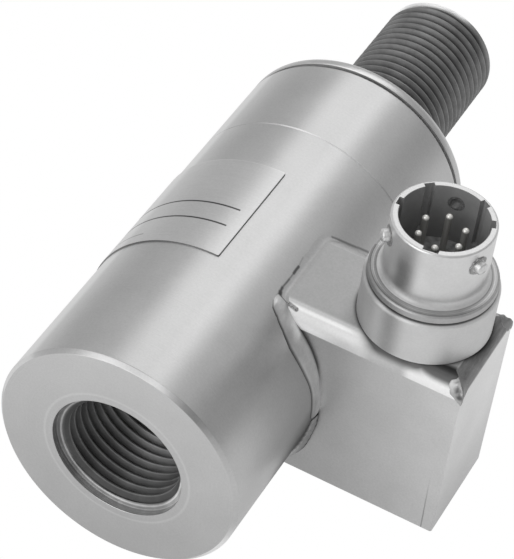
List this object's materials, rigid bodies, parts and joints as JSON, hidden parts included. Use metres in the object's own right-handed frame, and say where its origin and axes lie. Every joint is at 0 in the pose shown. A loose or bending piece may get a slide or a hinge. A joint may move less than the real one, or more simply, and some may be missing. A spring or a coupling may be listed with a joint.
{
  "type": "rod end load cell",
  "caption": "In-line load cell: round steel body with a female thread in one end and a threaded stud at the other, side housing and round bayonet connector.",
  "frame": {"origin": "centre of the female end face, on the load axis", "axes": "+Y along the load axis towards the male stud, +X towards the electronics housing, +Z towards the connector's mouth"},
  "size_m": [0.0587, 0.1059, 0.0535],
  "materials": {
    "body_steel": "satin, turned",
    "flange_steel": "satin",
    "housing_steel": "bead-blasted satin sheet",
    "weld_metal": "as welded",
    "collar_steel": "turned",
    "plate_metal": "satin foil",
    "shell_metal": "satin plated",
    "pin_metal": "satin",
    "seal_rubber": "matt",
    "insert_plastic": "matt",
    "ring_plastic": "matt",
    "contact_metal": "bright plated",
    "gauge_film": "clear amber film",
    "solder_metal": "tinned",
    "board_resin": "solder mask",
    "lead_copper": "enamelled",
    "bush_plastic": "matt",
    "harness_jacket": "matt",
    "standoff_brass": "machined",
    "screw_steel": "plain",
    "resistor_body": "matt",
    "wire_jacket": "smooth insulation"
  },
  "bodies": {
    "root": {"spring_element": "body_steel", "main_sleeve": "body_steel", "end_sleeve": "body_steel", "gap_seal": "seal_rubber", "end_flange": "flange_steel", "nameplate": "plate_metal", "housing_shell": "housing_steel", "housing_bottom": "housing_steel", "corner_welds": "weld_metal", "weld_front": "weld_metal", "weld_back": "weld_metal", "weld_top": "weld_metal", "weld_bottom": "weld_metal", "connector_collar": "collar_steel", "receptacle_gasket": "seal_rubber", "receptacle_shell": "shell_metal", "bayonet_pins": "pin_metal", "contact_insert": "insert_plastic", "insert_ring": "ring_plastic", "contact_pins": "contact_metal", "strain_gauges": "gauge_film", "gauge_tabs": "solder_metal", "terminal_ring": "board_resin", "gauge_leads": "lead_copper", "lead_bushing": "bush_plastic", "bridge_harness": "harness_jacket", "circuit_board": "board_resin", "board_standoffs": "standoff_brass", "board_screws": "screw_steel", "trim_resistors": "resistor_body", "connector_wires": "wire_jacket"}
  },
  "joints": []
}
